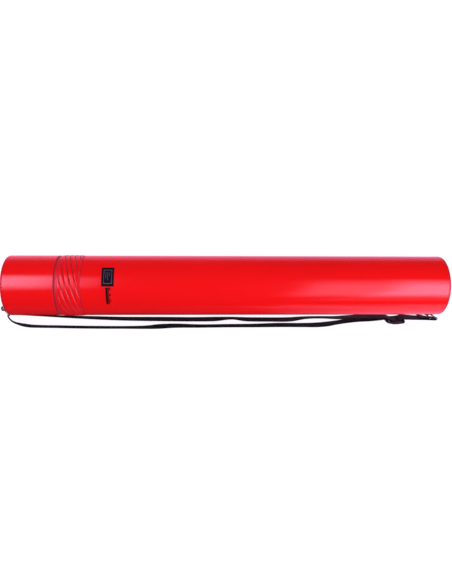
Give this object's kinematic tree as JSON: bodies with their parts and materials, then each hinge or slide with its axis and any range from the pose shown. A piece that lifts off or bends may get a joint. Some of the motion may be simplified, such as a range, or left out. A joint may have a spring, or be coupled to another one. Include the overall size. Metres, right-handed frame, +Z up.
{
  "type": "drawing tube",
  "caption": "Telescopic round drawing tube with a ribbed twist-lock collar, a pull-out end plug and a webbing carry strap on D-rings with a sliding buckle.",
  "frame": {"origin": "on the floor under the middle of the closed tube, which lies on its side", "axes": "+X along the tube, from the head towards the loading end; +Z up; the strap lies on the -Y side"},
  "size_m": [0.7281, 0.1216, 0.0976],
  "materials": {
    "red_shell": "glossy moulded red plastic",
    "inner_red": "satin drawn red plastic",
    "black_plastic": "fine moulded grain",
    "print": "satin printed ink",
    "webbing": "woven polypropylene webbing",
    "rivet_steel": "satin",
    "ring_chrome": "polished",
    "seal_rubber": "smooth"
  },
  "bodies": {
    "outer_tube": {"outer_barrel": "red_shell", "mouth_bush": "inner_red", "collet_ring": "black_plastic", "printed_mark": "print", "strap_tab": "black_plastic", "tab_rivets": "rivet_steel", "strap": "webbing", "strap_slider": "black_plastic"},
    "lock_collar": {"lock_collar": "red_shell", "collar_grip": "red_shell"},
    "inner_tube": {"inner_barrel": "inner_red", "guide_bush": "black_plastic", "head_sleeve": "red_shell", "head_cap": "red_shell", "head_ear": "black_plastic", "ear_rivets": "rivet_steel"},
    "end_plug": {"end_plug": "red_shell", "plug_seal": "seal_rubber"},
    "head_ring": {"head_ring": "ring_chrome"},
    "tail_ring": {"tail_ring": "ring_chrome"}
  },
  "joints": [
    {"name": "tube_extend", "type": "slide", "parent": "outer_tube", "child": "inner_tube", "axis": [-1, 0, 0], "range_m": [0, 0.535], "deforming": ["strap"]},
    {"name": "lock_twist", "type": "hinge", "parent": "outer_tube", "child": "lock_collar", "pos_m": [-0.248, 0, 0.0488], "axis": [1, 0, 0], "range_deg": [0, 60]},
    {"name": "plug_pull", "type": "slide", "parent": "outer_tube", "child": "end_plug", "axis": [1, 0, 0], "range_m": [0, 0.08]},
    {"name": "head_ring_swing", "type": "hinge", "parent": "inner_tube", "child": "head_ring", "pos_m": [-0.3695, -0.038, 0.023], "axis": [0.309, 0, 0.9511], "range_deg": [-130, 5]},
    {"name": "tail_ring_swing", "type": "hinge", "parent": "outer_tube", "child": "tail_ring", "pos_m": [0.3405, -0.0465, 0.023], "axis": [0, 0, 1], "range_deg": [-60, 10]}
  ]
}
